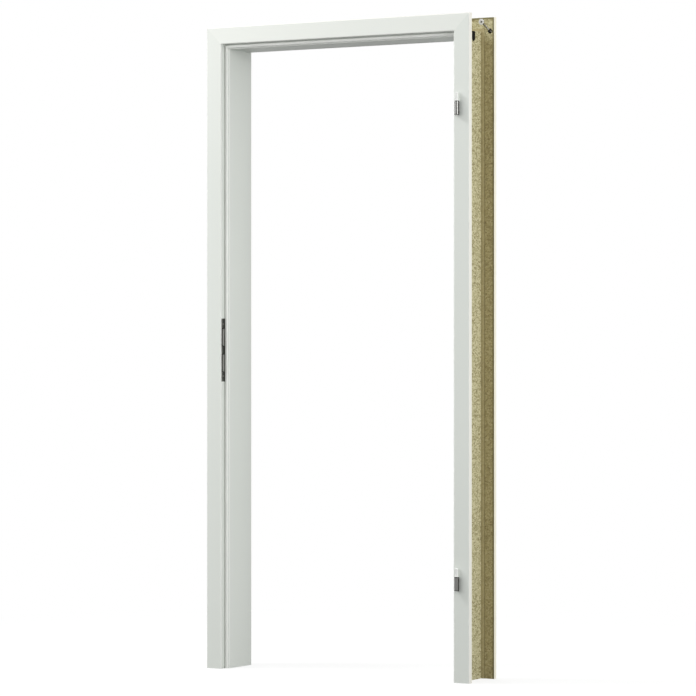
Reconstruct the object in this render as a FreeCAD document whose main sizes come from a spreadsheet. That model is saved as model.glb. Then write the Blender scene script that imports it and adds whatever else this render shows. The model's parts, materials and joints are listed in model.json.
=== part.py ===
# White laminated wrap-round frame for an overlapping interior door, hinges on the right.
# Left and right are as seen from the side that the door opens to. Lengths are in millimetres.
# X runs to the right, Y into the wall and Z up, from the middle of the frame's footprint.
# Depths are measured from the face of the rebate-side architraves.
import FreeCAD, Part
import math
import os
import Sketcher
import types

LEFT = -1
RIGHT = 1
SIDES = {"left": LEFT, "right": RIGHT}
DIAGONAL = math.sqrt(0.5)
MITRE_SLACK = 5
CUT_SLACK = 1

SIZES = {
    # clear doorway and rebate
    "passage_width": 811,
    "passage_height": 1968,
    "rebate_step": 15,
    "rebate_depth": 25,
    # architraves
    "face_width": 54,
    "board_thickness": 16,
    "edge_round": 3,
    "wall_gap": 145,
    "leg_cover": 2,
    "rear_setback": 13,
    # lining boards
    "joint_width": 10,
    "lining_gap": 1,
    "lining_rear_round": 1,
    # glued joint between the lining and the rebate-side architrave
    "glue_wall": 3,
    "glue_tongue_length": 6,
    "glue_gap": 0.1,
    # sliding tongue of the rear architrave
    "tongue_inset": 1.5,
    "tongue_thickness": 6,
    "tongue_length": 30,
    "tongue_bevel": 1.5,
    "tongue_play": 0.3,
    "tongue_tip_gap": 2,
    "foot_width": 20,
    "foot_thickness": 3,
    # sealing profile
    "seal_side_gap": 2.5,
    "seal_width": 9,
    "seal_height": 6,
    "seal_round": 2.5,
    "seal_crease_width": 1.6,
    "seal_crease_depth": 0.7,
    "seal_wall": 1.3,
    "seal_chamber_round": 1,
    "seal_stem": 3,
    "seal_stem_length": 8,
    "seal_barb": 0.4,
    "seal_barb_height": 1,
    "seal_play": 0.1,
    # strike plate
    "strike_centre": 1012,
    "strike_thickness": 1.5,
    "strike_margin": 2.5,
    "strike_return": 2,
    "strike_play": 0.1,
    "strike_opening_height": 57,
    "strike_opening_gap": 25,
    "strike_opening_margin": 2,
    "strike_opening_rear": 6,
    "strike_opening_round": 2,
    "strike_end": 30.5,
    "strike_lug_reach": 5,
    "mortise_depth": 17,
    "strike_screw_margin": 17.5,
    # countersunk wood screws
    "screw_shank_radius": 1.8,
    "screw_head_radius": 3.4,
    "screw_head_margin": 0.1,
    "screw_tip_length": 3,
    "screw_play": 0.05,
    "screw_recess_length": 3.8,
    "screw_recess_width": 1.1,
    "screw_recess_floor": 0.2,
    "strike_screw_length": 16,
    "receiver_screw_tip_gap": 1,
    # hinge knuckles, pins and sleeves
    "hinge_drop": 235,
    "lower_hinge_height": 302,
    "knuckle_radius": 7.5,
    "knuckle_height": 43,
    "knuckle_round": 0.8,
    "knuckle_side": 14.8,
    "knuckle_gap": 1,
    "pin_radius": 3.5,
    "pin_rise": 26,
    "pin_foot": 2,
    "pin_play": 0.02,
    "pin_round": 1,
    "sleeve_radius": 5.25,
    "sleeve_play": 0.05,
    "sleeve_cap": 1.2,
    "sleeve_round": 1.5,
    "collar_radius": 7,
    "collar_height": 1.2,
    "stud_radius": 4.25,
    "stud_spacing": 22,
    "stud_play": 0.1,
    "stud_wall": 0.95,
    "stud_end_gap": 3,
    # hinge receivers
    "receiver_cover": 2,
    "receiver_width": 30,
    "receiver_height": 50,
    "receiver_wall": 3.55,
    "receiver_end_wall": 1,
    "receiver_round": 4,
    "receiver_play": 0.2,
    "receiver_flange_height": 90,
    "receiver_flange": 2,
    "receiver_screw_end": 9,
    "receiver_screw_edge": 6,
    "clamp_screw_radius": 3,
    "clamp_screw_play": 0.05,
    "clamp_screw_proud": 2,
    "clamp_socket_flats": 3,
    "clamp_socket_depth": 2,
    # mitre connectors
    "cam_inset": 45,
    "cam_drop": 12.5,
    "cam_radius": 9.5,
    "cam_height": 11.3,
    "cam_play": 0.25,
    "cam_end_play": 0.35,
    "cam_hub_radius": 4.6,
    "cam_wall": 1.6,
    "cam_track_offset": 0.4,
    "cam_slot_play": 0.3,
    "cam_slot_angle": 220,
    "cam_mouth_play": 0.4,
    "cam_socket_flats": 6,
    "cam_socket_depth": 7,
    "bolt_depth": 6.5,
    "bolt_head_inset": 0.4,
    "bolt_head_radius": 2.9,
    "bolt_head_play": 0.35,
    "bolt_head_end_play": 0.7,
    "bolt_neck_radius": 2,
    "bolt_neck_clearance": 1.1,
    "bolt_radius": 3,
    "bolt_slot_play": 0.5,
    "nut_distance": 40.5,
    "nut_thickness": 6,
    "nut_width": 14,
    "nut_wall": 1.5,
    "nut_play": 0.1,
    "nut_pocket_length": 13,
    "bolt_end_past_nut": 3,
    # corner brackets of the lining
    "bracket_groove_gap": 8,
    "bracket_width": 22,
    "bracket_length": 35,
    "bracket_thickness": 6.5,
    "bracket_sunk": 1.5,
    "bracket_tip": 5.5,
    "bracket_tip_round": 2,
    "bracket_front_taper": 10,
    "bracket_rear_taper": 9,
    "bracket_play": 0.2,
}


class Length:
    """A length as a value and as the formula that ties it to the sheet."""

    def __init__(self, value, formula=None):
        self.value = float(value)
        self.formula = formula or f"({float(value)!r})"

    @staticmethod
    def of(number):
        return number if isinstance(number, Length) else Length(number)

    def __add__(self, other):
        other = Length.of(other)
        return Length(self.value + other.value, f"({self.formula} + {other.formula})")

    def __sub__(self, other):
        other = Length.of(other)
        return Length(self.value - other.value, f"({self.formula} - {other.formula})")

    def __mul__(self, other):
        other = Length.of(other)
        return Length(self.value * other.value, f"({self.formula} * {other.formula})")

    def __truediv__(self, other):
        other = Length.of(other)
        return Length(self.value / other.value, f"({self.formula} / {other.formula})")

    def __neg__(self):
        return self * -1


def vector(x=0, y=0, z=0):
    return FreeCAD.Vector(x, y, z)


# The document and its sheet of driving dimensions
doc = FreeCAD.newDocument("door_frame")
sheet = doc.addObject("Spreadsheet::Sheet", "sizes")
for row, (alias, number) in enumerate(SIZES.items(), start=1):
    sheet.set(f"A{row}", alias.replace("_", " "))
    sheet.set(f"B{row}", str(number))
    sheet.setAlias(f"B{row}", alias)
doc.recompute()
size = types.SimpleNamespace(**{alias: Length(number, f"sizes.{alias}") for alias, number in SIZES.items()})

# Widths from the middle of the doorway
passage_half = size.passage_width / 2
rebate_half = passage_half + size.rebate_step
outer_half = rebate_half + size.face_width
lining_half = rebate_half + size.joint_width
hinge_x = rebate_half + size.knuckle_side
leg_half = hinge_x + size.stud_radius + size.stud_wall
rear_half = passage_half + size.rear_setback
tongue_half = rear_half + size.tongue_inset
seal_half = rebate_half - size.seal_side_gap - size.seal_width

# Height of the mitre line above a given distance from the middle
mitre_rise = size.passage_height - passage_half
top = outer_half + mitre_rise

# Depths from the face
rear_face = size.board_thickness + size.wall_gap
rear_back = rear_face + size.board_thickness
receiver_front = size.board_thickness + size.receiver_cover
receiver_rear = receiver_front + size.receiver_width
leg_depth = receiver_rear + size.leg_cover
lining_rear = rear_face - size.foot_thickness - size.lining_gap
tongue_tip = rear_face - size.tongue_length
tongue_groove_end = tongue_tip - size.tongue_tip_gap
knuckle_proud = size.knuckle_radius + size.knuckle_gap
middle_depth = (rear_back - knuckle_proud - size.knuckle_radius) / 2

# Hinges
hinge_heights = {
    "upper": rebate_half + mitre_rise - size.hinge_drop,
    "lower": size.lower_hinge_height,
}
receiver_middle = (receiver_front + receiver_rear) / 2
receiver_inner = hinge_x - size.stud_radius - size.receiver_wall
receiver_outer = leg_half + size.receiver_flange
receiver_screw_length = receiver_outer - lining_half - size.receiver_screw_tip_gap
stud_end = receiver_rear - size.stud_end_gap
receiver_screw_places = [
    (depth, (size.receiver_flange_height / 2 - size.receiver_screw_end) * way)
    for depth in (receiver_front + size.receiver_screw_edge, receiver_rear - size.receiver_screw_edge)
    for way in (-1, 1)
]

# Strike plate, on the left
strike_front = size.strike_margin
strike_opening_front = strike_front + size.strike_opening_margin
strike_opening_rear = size.rebate_depth - size.strike_opening_rear
strike_opening_rise = (size.strike_opening_gap + size.strike_opening_height) / 2
strike_half = size.strike_opening_gap / 2 + size.strike_opening_height + size.strike_end
strike_screw_depth = (strike_front + size.rebate_depth) / 2
strike_screw_reach = strike_half - size.strike_screw_margin
strike_screw_heights = [size.strike_centre + strike_screw_reach * way for way in (-1, 1)]
screw_head_height = size.strike_thickness - size.screw_head_margin

# Mitre connectors: the cam sits in the head piece and the nut in the side piece
cam_x = outer_half - size.cam_inset
cam_z = top - size.cam_drop
cam_bore_depth = size.cam_height + size.cam_end_play * 2
cam_track_radius = size.cam_radius - size.cam_wall
cam_bolt_height = size.cam_height + size.cam_end_play - size.bolt_depth
bolt_head_start = size.cam_hub_radius + size.bolt_head_inset
bolt_head_end = cam_track_radius - size.cam_track_offset - size.bolt_head_end_play
bolt_slot_half = size.bolt_radius + size.bolt_slot_play
bolt_slot_depth = size.bolt_depth + bolt_slot_half
nut_near = size.nut_distance - size.nut_thickness / 2
nut_depth = size.bolt_depth + size.bolt_radius + size.nut_wall


class Outline:
    """A closed outline of corners (x, y) or, where an upright meets a level edge, (x, y, radius)."""

    def __init__(self, corners):
        self.corners = [tuple(Length.of(number) for number in corner) for corner in corners]

    def toward(self, corner, neighbour):
        """The step of one corner radius along an upright or level edge."""
        across = neighbour[0].value - corner[0].value
        along = neighbour[1].value - corner[1].value
        if abs(across) > abs(along):
            return corner[2] * math.copysign(1, across), Length(0)
        return Length(0), corner[2] * math.copysign(1, along)

    def points(self):
        """Drawn points as (x, y, radius, middle); radius and middle are set where an arc starts."""
        drawn = []
        for index, corner in enumerate(self.corners):
            x, y = corner[:2]
            if len(corner) == 2:
                drawn.append((x, y, None, None))
                continue
            before = self.toward(corner, self.corners[index - 1])
            after = self.toward(corner, self.corners[(index + 1) % len(self.corners)])
            inset = corner[2].value * (1 - DIAGONAL)
            turn = vector(before[0].value + after[0].value, before[1].value + after[1].value)
            middle = vector(x.value, y.value) + turn * (inset / corner[2].value)
            drawn.append((x + before[0], y + before[1], corner[2], middle))
            drawn.append((x + after[0], y + after[1], None, None))
        return drawn

    def add_to(self, sketch):
        drawn = self.points()
        spots = [vector(x.value, y.value) for x, y, radius, middle in drawn]
        first = sketch.GeometryCount
        for index, (x, y, radius, middle) in enumerate(drawn):
            start = spots[index]
            end = spots[(index + 1) % len(spots)]
            if radius is None:
                sketch.addGeometry(Part.LineSegment(start, end))
            else:
                sketch.addGeometry(Part.Arc(start, middle, end))
        ends = [(1, 2) if sketch.getPoint(first + index, 1).distanceToPoint(spot) < 1e-6 else (2, 1)
                for index, spot in enumerate(spots)]
        for index, (x, y, radius, middle) in enumerate(drawn):
            edge = first + index
            following = (index + 1) % len(drawn)
            join = (edge, ends[index][1], first + following, ends[following][0])
            sketch.addConstraint(Sketcher.Constraint("Coincident", *join))
            tie(sketch, "DistanceX", (-1, 1, edge, ends[index][0]), x)
            tie(sketch, "DistanceY", (-1, 1, edge, ends[index][0]), y)
            if radius is not None:
                tie(sketch, "Radius", (edge,), radius)


class Ring:
    """A circle at (x, y)."""

    def __init__(self, x, y, radius):
        self.x = Length.of(x)
        self.y = Length.of(y)
        self.radius = radius

    def add_to(self, sketch):
        circle = Part.Circle(vector(self.x.value, self.y.value), vector(0, 0, 1), self.radius.value)
        edge = sketch.addGeometry(circle)
        tie(sketch, "DistanceX", (-1, 1, edge, 3), self.x)
        tie(sketch, "DistanceY", (-1, 1, edge, 3), self.y)
        tie(sketch, "Radius", (edge,), self.radius)


def tie(sketch, kind, places, length):
    """Add a measured constraint whose value follows the sheet."""
    number = sketch.addConstraint(Sketcher.Constraint(kind, *places, length.value))
    name = f"{kind}{number}"
    sketch.renameConstraint(number, name)
    sketch.setExpression(f"Constraints.{name}", length.formula)


def box_outline(low_x, high_x, low_y, high_y, *radius):
    corners = [(low_x, low_y), (high_x, low_y), (high_x, high_y), (low_x, high_y)]
    return Outline([corner + radius for corner in corners])


def cross_outline(length, width):
    """A plus-shaped outline about the sketch's origin."""
    arm = length / 2
    half = width / 2
    quarter = [(arm, -half), (arm, half), (half, half)]
    corners = []
    for x_from_x, x_from_y in ((1, 0), (0, -1), (-1, 0), (0, 1)):
        corners += [(x * x_from_x + y * x_from_y, y * x_from_x - x * x_from_y) for x, y in quarter]
    return Outline(corners)


def hexagon_outline(flats):
    corner = flats / math.sqrt(3)
    flat = flats / 2
    return Outline([(corner, 0), (corner / 2, flat), (-corner / 2, flat),
                    (-corner, 0), (-corner / 2, -flat), (corner / 2, -flat)])


def new_body(name):
    body = doc.addObject("PartDesign::Body", name)
    body.Label = name
    return body


def place(thing, x=0, y=0, z=0, rotation=None):
    """Put a piece at a point given with its depth from the face, and keep it tied to the sheet."""
    spots = {"x": Length.of(x), "y": Length.of(y) - middle_depth, "z": Length.of(z)}
    base = vector(*(spot.value for spot in spots.values()))
    thing.Placement = FreeCAD.Placement(base, rotation or FreeCAD.Rotation())
    for axis, spot in spots.items():
        thing.setExpression(f"Placement.Base.{axis}", spot.formula)


def draw(body, plane_role, shapes, level=0, start=(0, 0)):
    """Draw closed shapes on a plane of the body, raised along its normal by level."""
    sketch = body.newObject("Sketcher::SketchObject", f"{body.Name}_sketch")
    plane = next(item for item in body.Origin.OriginFeatures if item.Role == plane_role)
    sketch.AttachmentSupport = [(plane, "")]
    sketch.MapMode = "FlatFace"
    offset = [Length.of(number) for number in (*start, level)]
    sketch.AttachmentOffset = FreeCAD.Placement(vector(*(step.value for step in offset)), FreeCAD.Rotation())
    for axis, step in zip("xyz", offset):
        sketch.setExpression(f"AttachmentOffset.Base.{axis}", step.formula)
    for shape in shapes:
        shape.add_to(sketch)
    return sketch


def pad(body, sketch, length, both_ways=False, backwards=False):
    feature = body.newObject("PartDesign::Pad", f"{body.Name}_pad")
    feature.Profile = sketch
    feature.Length = Length.of(length).value
    feature.setExpression("Length", Length.of(length).formula)
    feature.SideType = "Symmetric" if both_ways else "One side"
    feature.Reversed = backwards
    return feature


def pocket(body, sketch, depth, backwards=False):
    """Cut to a depth against the sketch plane's normal, or with it when backwards."""
    feature = body.newObject("PartDesign::Pocket", f"{body.Name}_pocket")
    feature.Profile = sketch
    feature.Length = Length.of(depth).value
    feature.setExpression("Length", Length.of(depth).formula)
    feature.Reversed = backwards
    return feature


def cut_through(body, sketch):
    feature = body.newObject("PartDesign::Pocket", f"{body.Name}_cut")
    feature.Profile = sketch
    feature.Type = "ThroughAll"
    feature.SideType = "Symmetric"
    return feature


def turn(body, outline):
    """Revolve an outline of (radius, height) about the body's own upright axis."""
    sketch = draw(body, "XZ_Plane", [outline])
    feature = body.newObject("PartDesign::Revolution", f"{body.Name}_turned")
    feature.Profile = sketch
    feature.ReferenceAxis = (sketch, ["V_Axis"])
    feature.Angle = 360
    return feature


def groove_round(body, outline, angle):
    """Cut an outline of (radius, height) round the upright axis, half the angle each way."""
    sketch = draw(body, "XZ_Plane", [outline])
    feature = body.newObject("PartDesign::Groove", f"{body.Name}_groove")
    feature.Profile = sketch
    feature.ReferenceAxis = (sketch, ["V_Axis"])
    feature.Angle = angle.value
    feature.setExpression("Angle", angle.formula)
    feature.Midplane = True
    return feature


def frame_of(upright, ahead):
    """The rotation that turns a piece's own Z to upright and its own Y to ahead."""
    return FreeCAD.Rotation(ahead.cross(upright), ahead, upright, "ZYX")


# Straight profiles: a section is drawn once as (distance from the middle, depth) for a side piece
# and as (depth, height) for the head piece, whose height is that distance plus the mitre rise.
def side_piece(name, side, section):
    body = new_body(name)
    corners = [(corner[0] * side, *corner[1:]) for corner in section]
    pad(body, draw(body, "XY_Plane", [Outline(corners)]), top)
    low = passage_half - MITRE_SLACK
    high = outer_half + MITRE_SLACK
    waste = [(low, low), (high, high), (low, high)]
    cut_through(body, draw(body, "XZ_Plane", [Outline([(x * side, z + mitre_rise) for x, z in waste])]))
    place(body)
    return body


def head_piece(name, section):
    body = new_body(name)
    corners = [(corner[1], corner[0] + mitre_rise, *corner[2:]) for corner in section]
    pad(body, draw(body, "YZ_Plane", [Outline(corners)]), outer_half * 2, both_ways=True)
    low = passage_half - MITRE_SLACK
    high = outer_half + MITRE_SLACK
    waste = [(low, low), (high, high), (high, low)]
    for side in SIDES.values():
        cut_through(body, draw(body, "XZ_Plane", [Outline([(x * side, z + mitre_rise) for x, z in waste])]))
    place(body)
    return body


def lengths_across(section):
    return [tuple(Length.of(number) for number in corner) for corner in section]


def three_pieces(stem, section):
    section = lengths_across(section)
    pieces = {side: side_piece(f"{stem}_{side}", SIDES[side], section) for side in SIDES}
    pieces["head"] = head_piece(f"{stem}_head", section)
    return pieces


def lining_section():
    seal_groove = seal_half + size.seal_width / 2
    seal_groove_half = size.seal_stem / 2 + size.seal_barb + size.seal_play
    seal_groove_end = size.rebate_depth + size.seal_stem_length + size.glue_gap
    glue_low = rebate_half + size.glue_wall - size.glue_gap
    glue_high = lining_half - size.glue_wall + size.glue_gap
    glue_end = size.rebate_depth + size.glue_tongue_length + size.glue_gap
    tongue_low = tongue_half - size.tongue_play
    tongue_high = tongue_half + size.tongue_thickness + size.tongue_play
    return [
        (passage_half, size.rebate_depth, size.edge_round),
        (seal_groove - seal_groove_half, size.rebate_depth),
        (seal_groove - seal_groove_half, seal_groove_end),
        (seal_groove + seal_groove_half, seal_groove_end),
        (seal_groove + seal_groove_half, size.rebate_depth),
        (glue_low, size.rebate_depth),
        (glue_low, glue_end),
        (glue_high, glue_end),
        (glue_high, size.rebate_depth),
        (lining_half, size.rebate_depth),
        (lining_half, lining_rear),
        (tongue_high, lining_rear),
        (tongue_high, tongue_groove_end),
        (tongue_low, tongue_groove_end),
        (tongue_low, lining_rear),
        (passage_half, lining_rear, size.lining_rear_round),
    ]


def front_section():
    glue_low = rebate_half + size.glue_wall
    glue_high = lining_half - size.glue_wall
    glue_end = size.rebate_depth + size.glue_tongue_length
    return [
        (rebate_half, 0, size.edge_round),
        (outer_half, 0, size.edge_round),
        (outer_half, size.board_thickness),
        (leg_half, size.board_thickness),
        (leg_half, leg_depth),
        (lining_half, leg_depth),
        (lining_half, size.rebate_depth),
        (glue_high, size.rebate_depth),
        (glue_high, glue_end),
        (glue_low, glue_end),
        (glue_low, size.rebate_depth),
        (rebate_half, size.rebate_depth),
    ]


def rear_section():
    return [
        (rear_half, rear_face),
        (outer_half, rear_face),
        (outer_half, rear_back, size.edge_round),
        (rear_half, rear_back, size.edge_round),
    ]


def tongue_section():
    foot_front = rear_face - size.foot_thickness
    tongue_outer = tongue_half + size.tongue_thickness
    bevel = size.tongue_bevel
    return [
        (tongue_half, rear_face),
        (tongue_half + size.foot_width, rear_face),
        (tongue_half + size.foot_width, foot_front),
        (tongue_outer, foot_front),
        (tongue_outer, tongue_tip + bevel),
        (tongue_outer - bevel, tongue_tip),
        (tongue_half + bevel, tongue_tip),
        (tongue_half, tongue_tip + bevel),
    ]


def seal_corners():
    """The creased bulb on the lining's front edge and the barbed stem that holds it there."""
    middle = seal_half + size.seal_width / 2
    crease = size.seal_crease_width / 2
    stem = size.seal_stem / 2
    barb = stem + size.seal_barb
    seat = size.rebate_depth
    front = seat - size.seal_height
    end = seat + size.seal_stem_length
    barb_low = end - size.seal_barb_height * 2
    barb_high = barb_low - size.seal_barb_height
    return [
        (seal_half, front, size.seal_round),
        (middle - crease, front),
        (middle, front + size.seal_crease_depth),
        (middle + crease, front),
        (seal_half + size.seal_width, front, size.seal_round),
        (seal_half + size.seal_width, seat),
        (middle + stem, seat),
        (middle + stem, barb_high),
        (middle + barb, barb_high),
        (middle + stem, barb_low),
        (middle + stem, end),
        (middle - stem, end),
        (middle - stem, barb_low),
        (middle - barb, barb_high),
        (middle - stem, barb_high),
        (middle - stem, seat),
        (seal_half, seat),
    ]


def hollow_seal(body, to_plane):
    """Cut the air chamber of the sealing profile along its whole length."""
    wall = size.seal_wall
    low = seal_half + wall
    high = seal_half + size.seal_width - wall
    front = size.rebate_depth - size.seal_height + wall
    back = size.rebate_depth - wall
    corners = [(low, front), (high, front), (high, back), (low, back)]
    return to_plane(body, corners)


def chamber_in_side(side):
    def cut(body, corners):
        chamber = Outline([(x * side, y, size.seal_chamber_round) for x, y in corners])
        cut_through(body, draw(body, "XY_Plane", [chamber]))
    return cut


def chamber_in_head(body, corners):
    chamber = Outline([(y, x + mitre_rise, size.seal_chamber_round) for x, y in corners])
    cut_through(body, draw(body, "YZ_Plane", [chamber]))


# Mitre connectors
def along_bolt(side, ahead, aside):
    """A point of the connector's own axes as (x, z): ahead towards the nut, aside across it."""
    x = cam_x + Length.of(ahead) * DIAGONAL + Length.of(aside) * DIAGONAL
    z = cam_z - Length.of(ahead) * DIAGONAL + Length.of(aside) * DIAGONAL
    return x * side, z


def bolt_outline(side, start, end, half_width):
    return Outline([
        along_bolt(side, start, -half_width),
        along_bolt(side, end, -half_width),
        along_bolt(side, end, half_width),
        along_bolt(side, start, half_width),
    ])


def cut_side_for_connector(body, side, wall_side, inward):
    """The side piece takes the nut pocket and its half of the bolt's slot."""
    backwards = inward < 0
    recess_start = nut_near - size.nut_play
    slot = bolt_outline(side, size.cam_radius, nut_near, bolt_slot_half)
    recess = bolt_outline(side, recess_start, recess_start + size.nut_pocket_length,
                          size.nut_width / 2 + size.nut_play)
    pocket(body, draw(body, "XZ_Plane", [slot], level=-wall_side), bolt_slot_depth, backwards)
    pocket(body, draw(body, "XZ_Plane", [recess], level=-wall_side), nut_depth + size.nut_play * 2, backwards)


def cut_head_for_connector(body, side, wall_side, inward):
    """The head piece takes the cam's bore and its half of the bolt's slot."""
    backwards = inward < 0
    bore = Ring(cam_x * side, cam_z, size.cam_radius + size.cam_play)
    slot = bolt_outline(side, 0, nut_near, bolt_slot_half)
    pocket(body, draw(body, "XZ_Plane", [bore], level=-wall_side), cam_bore_depth, backwards)
    pocket(body, draw(body, "XZ_Plane", [slot], level=-wall_side), bolt_slot_depth, backwards)


def mitre_cam(name, side, wall_side, inward):
    """Flat round cam: a lid with a hexagon socket, a hub, an off-centre track and a slot half round."""
    body = new_body(name)
    turn(body, box_outline(0, size.cam_radius, 0, size.cam_height))
    track = Ring(0, -size.cam_track_offset, cam_track_radius)
    hub = Ring(0, 0, size.cam_hub_radius)
    track_end = cam_bolt_height + size.bolt_head_radius + size.bolt_head_play
    pocket(body, draw(body, "XY_Plane", [track, hub]), track_end, backwards=True)
    slot_half = size.bolt_neck_radius + size.cam_slot_play
    slot = box_outline(cam_track_radius - CUT_SLACK, size.cam_radius + CUT_SLACK,
                       cam_bolt_height - slot_half, cam_bolt_height + slot_half)
    groove_round(body, slot, size.cam_slot_angle)
    mouth_half = size.bolt_head_radius + size.cam_mouth_play
    mouth = box_outline(-mouth_half, mouth_half, cam_bolt_height - mouth_half, track_end)
    pocket(body, draw(body, "XZ_Plane", [mouth], level=bolt_head_end), size.cam_radius, backwards=True)
    socket = hexagon_outline(size.cam_socket_flats)
    pocket(body, draw(body, "XY_Plane", [socket], level=size.cam_height), size.cam_socket_depth)
    rotation = frame_of(vector(0, -inward, 0), vector(side, 0, -1).normalize())
    place(body, cam_x * side, wall_side + (size.cam_end_play + size.cam_height) * inward, cam_z, rotation)
    return body


def mitre_bolt(name, side, wall_side, inward):
    """Drawbolt: a flat head held in the cam's track, a thin neck and a plain rod up to the nut."""
    body = new_body(name)
    neck_end = size.cam_radius + size.bolt_neck_clearance
    end = nut_near + size.nut_thickness + size.bolt_end_past_nut
    turn(body, Outline([
        (0, bolt_head_start), (size.bolt_head_radius, bolt_head_start),
        (size.bolt_head_radius, bolt_head_end), (size.bolt_neck_radius, bolt_head_end),
        (size.bolt_neck_radius, neck_end), (size.bolt_radius, neck_end),
        (size.bolt_radius, end), (0, end)]))
    rotation = frame_of(vector(side, 0, -1).normalize(), vector(0, -inward, 0))
    place(body, cam_x * side, wall_side + size.bolt_depth * inward, cam_z, rotation)
    return body


def mitre_nut(name, side, wall_side, inward):
    """Square-cornered nut that fills the near end of its pocket, bored for the bolt."""
    body = new_body(name)
    half = size.nut_width / 2
    block = box_outline(-half, half, size.bolt_depth - nut_depth, size.bolt_depth - size.nut_play)
    bore = Ring(0, 0, size.bolt_radius + size.screw_play)
    pad(body, draw(body, "XY_Plane", [block, bore], level=nut_near), size.nut_thickness)
    rotation = frame_of(vector(side, 0, -1).normalize(), vector(0, -inward, 0))
    place(body, cam_x * side, wall_side + size.bolt_depth * inward, cam_z, rotation)
    return body


# Screws
def wood_screw(name, length, x, y, z, direction):
    """Countersunk cross-recess screw with its head's face at the given point, driven along direction."""
    body = new_body(name)
    turn(body, Outline([
        (0, 0), (size.screw_head_radius, 0), (size.screw_shank_radius, screw_head_height),
        (size.screw_shank_radius, length - size.screw_tip_length), (0, length)]))
    recess = cross_outline(size.screw_recess_length, size.screw_recess_width)
    depth = screw_head_height - size.screw_recess_floor
    pocket(body, draw(body, "XY_Plane", [recess]), depth, backwards=True)
    place(body, x, y, z, frame_of(direction, vector(0, 0, 1)))
    return body


def group(name, bodies):
    """Identical fasteners kept as separate solids of one sub-part."""
    compound = doc.addObject("Part::Compound", name)
    compound.Label = name
    compound.Links = bodies
    return compound


# Strike plate
def strike_outlines(front, rear, inset, *bend):
    """Lower and upper opening between two depths, each end drawn in by an inset."""
    half = size.strike_opening_height / 2 - inset
    middles = [size.strike_centre + strike_opening_rise * way for way in (-1, 1)]
    return [box_outline(front, rear, middle - half, middle + half, *bend) for middle in middles]


def strike_plate():
    """Angle plate let into the left rebate: a small return on the lining's front edge and two lugs behind."""
    body = new_body("strike_plate")
    face = -rebate_half
    back = face - size.strike_thickness + size.strike_play
    lip = size.rebate_depth - size.strike_thickness
    section = Outline([
        (back, strike_front + size.strike_play), (face, strike_front + size.strike_play), (face, lip),
        (face + size.strike_return, lip), (face + size.strike_return, size.rebate_depth),
        (back, size.rebate_depth)])
    end = strike_half - size.strike_play
    pad(body, draw(body, "XY_Plane", [section], level=size.strike_centre - end), end * 2)
    openings = strike_outlines(strike_opening_front, strike_opening_rear, 0, size.strike_opening_round)
    pocket(body, draw(body, "YZ_Plane", openings, level=face), size.strike_thickness + CUT_SLACK)
    lugs = strike_outlines(strike_opening_rear, strike_opening_rear + size.strike_thickness,
                           size.strike_opening_round)
    pad(body, draw(body, "YZ_Plane", lugs, level=back), size.strike_lug_reach, backwards=True)
    for height in strike_screw_heights:
        countersink(body, face, size.strike_thickness, strike_screw_depth, height)
    place(body)
    return body


def countersink(body, face, thickness, depth, height):
    """Hole along X through a plate whose open side is at face, with a cone for the screw's head."""
    head = size.screw_head_radius + size.screw_play
    shank = size.screw_shank_radius + size.screw_play
    mouth = face + CUT_SLACK
    back = face - thickness - CUT_SLACK
    cone = Outline([
        (mouth, 0), (mouth, head), (face, head), (face - screw_head_height, shank), (back, shank), (back, 0)])
    sketch = draw(body, "XY_Plane", [cone], level=height, start=(0, depth))
    feature = body.newObject("PartDesign::Groove", f"{body.Name}_countersink")
    feature.Profile = sketch
    feature.ReferenceAxis = (sketch, ["H_Axis"])
    feature.Angle = 360


def cut_for_strike(body):
    """Recess, mortises and screw holes in the left architrave's rebate side."""
    face = -rebate_half
    recess = box_outline(strike_front, size.rebate_depth + CUT_SLACK,
                         size.strike_centre - strike_half, size.strike_centre + strike_half)
    pocket(body, draw(body, "YZ_Plane", [recess], level=face), size.strike_thickness)
    mortise_rear = strike_opening_rear + size.strike_thickness + size.strike_play
    mortises = strike_outlines(strike_opening_front, mortise_rear, 0, size.strike_opening_round)
    pocket(body, draw(body, "YZ_Plane", mortises, level=face), size.mortise_depth)
    holes = [Ring(strike_screw_depth, height, size.screw_shank_radius + size.screw_play)
             for height in strike_screw_heights]
    pocket(body, draw(body, "YZ_Plane", holes, level=face), size.strike_screw_length + CUT_SLACK)


# Hinges
def hinge_knuckle(name, height):
    """Barrel that carries the pin, with the two studs that run back into the receiver."""
    body = new_body(name)
    half = size.knuckle_height / 2
    bend = size.knuckle_round
    turn(body, Outline([
        (0, -half), (size.knuckle_radius, -half, bend), (size.knuckle_radius, half, bend), (0, half)]))
    studs = [Ring(0, size.stud_spacing / 2 * way, size.stud_radius) for way in (-1, 1)]
    pad(body, draw(body, "XZ_Plane", studs), stud_end + knuckle_proud, backwards=True)
    bore = Ring(0, 0, size.pin_radius + size.pin_play)
    pocket(body, draw(body, "XY_Plane", [bore], level=half), size.knuckle_height - size.pin_foot)
    place(body, hinge_x, -knuckle_proud, height)
    return body


def hinge_pin(name, height):
    body = new_body(name)
    half = size.knuckle_height / 2
    low = -half + size.pin_foot
    high = half + size.pin_rise - size.sleeve_cap
    turn(body, Outline([
        (0, low), (size.pin_radius, low), (size.pin_radius, high, size.pin_round), (0, high)]))
    place(body, hinge_x, -knuckle_proud, height)
    return body


def hinge_sleeve(name, height):
    """Closed bearing sleeve over the pin, with the collar that carries the door leaf."""
    body = new_body(name)
    low = size.knuckle_height / 2
    high = low + size.pin_rise + size.sleeve_play
    inner = size.pin_radius + size.sleeve_play
    turn(body, Outline([
        (inner, low), (size.collar_radius, low), (size.collar_radius, low + size.collar_height),
        (size.sleeve_radius, low + size.collar_height), (size.sleeve_radius, high, size.sleeve_round),
        (0, high), (0, high - size.sleeve_cap), (inner, high - size.sleeve_cap)]))
    place(body, hinge_x, -knuckle_proud, height)
    return body


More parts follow.
